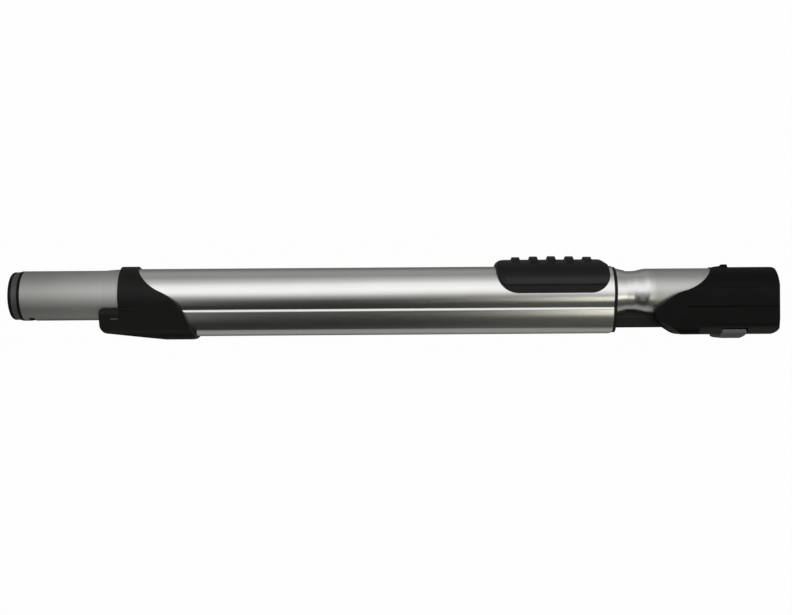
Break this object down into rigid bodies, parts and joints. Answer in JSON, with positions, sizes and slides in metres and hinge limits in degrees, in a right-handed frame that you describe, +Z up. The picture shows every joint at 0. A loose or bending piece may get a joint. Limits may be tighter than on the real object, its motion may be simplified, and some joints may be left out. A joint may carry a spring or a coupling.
{
  "type": "telescopic vacuum wand",
  "caption": "Telescopic vacuum wand: keyhole metal casing, sliding belled tube on a feed rail, ribbed lock grip, plug housing at the nozzle end and release button at the handle socket.",
  "frame": {"origin": "centre of the nozzle spigot's rim, on the tube's axis; the wand lies on its flank", "axes": "+X along the wand towards the handle socket, +Y to the grip side, +Z up out of the upper flank"},
  "size_m": [0.5825, 0.0637, 0.044],
  "materials": {
    "casing_metal": "satin",
    "spigot_metal": "satin",
    "tube_metal": "gloss",
    "black_plastic": "satin",
    "grey_plastic": "satin",
    "white_plastic": "matte",
    "rubber": "matte",
    "contact_metal": "gloss",
    "spring_steel": "gloss",
    "lead_sheath": "matte"
  },
  "bodies": {
    "lower": {"spigot_tube": "spigot_metal", "spigot_ferrule": "grey_plastic", "spigot_bumper": "rubber", "spigot_seal": "rubber", "end_insert": "white_plastic", "outer_casing": "casing_metal", "nozzle_collar": "black_plastic", "plug_housing": "black_plastic", "plug_insert": "black_plastic", "plug_pin_near": "contact_metal", "plug_pin_far": "contact_metal", "housing_screw_near": "spring_steel", "housing_screw_far": "spring_steel", "feed_lead_near": "lead_sheath", "feed_lead_far": "lead_sheath", "wiper_block": "black_plastic", "wiper_near": "contact_metal", "wiper_far": "contact_metal", "mouth_guide": "black_plastic", "mouth_seal": "rubber", "mouth_cone": "tube_metal", "lock_spring_near": "spring_steel", "lock_spring_far": "spring_steel"},
    "upper": {"inner_tube": "tube_metal", "tail_bush": "white_plastic", "tail_seal": "rubber", "feed_rail": "black_plastic", "bus_bar_near": "contact_metal", "bus_bar_far": "contact_metal", "socket_upper": "black_plastic", "socket_lower": "black_plastic", "socket_contact_near": "contact_metal", "socket_contact_far": "contact_metal", "button_pivot_pin": "spring_steel", "button_spring": "spring_steel"},
    "grip": {"grip_skirt": "black_plastic", "grip_cover": "black_plastic", "lock_carriage": "white_plastic"},
    "shoe": {"lock_shoe": "white_plastic"},
    "button": {"release_button": "grey_plastic"}
  },
  "joints": [
    {"name": "telescope", "type": "slide", "parent": "lower", "child": "upper", "axis": [1, 0, 0], "range_m": [0, 0.26]},
    {"name": "grip_slide", "type": "slide", "parent": "lower", "child": "grip", "axis": [-1, 0, 0], "range_m": [0, 0.008], "stiffness_N_per_m": 400, "springref_m": -0.004, "deforming": ["lock_spring_near", "lock_spring_far"]},
    {"name": "shoe_lift", "type": "slide", "parent": "lower", "child": "shoe", "axis": [0, 1, 0], "range_m": [0, 0.001]},
    {"name": "button_press", "type": "hinge", "parent": "upper", "child": "button", "pos_m": [0.5507, -0.0245, 0], "axis": [0, 0, 1], "range_deg": [0, 5], "stiffness_Nm_per_rad": 0.3, "springref_deg": -2.86, "deforming": ["button_spring"]}
  ],
  "couplings": [
    {"joint": "shoe_lift", "follows": "grip_slide", "ratio": 0.125}
  ]
}
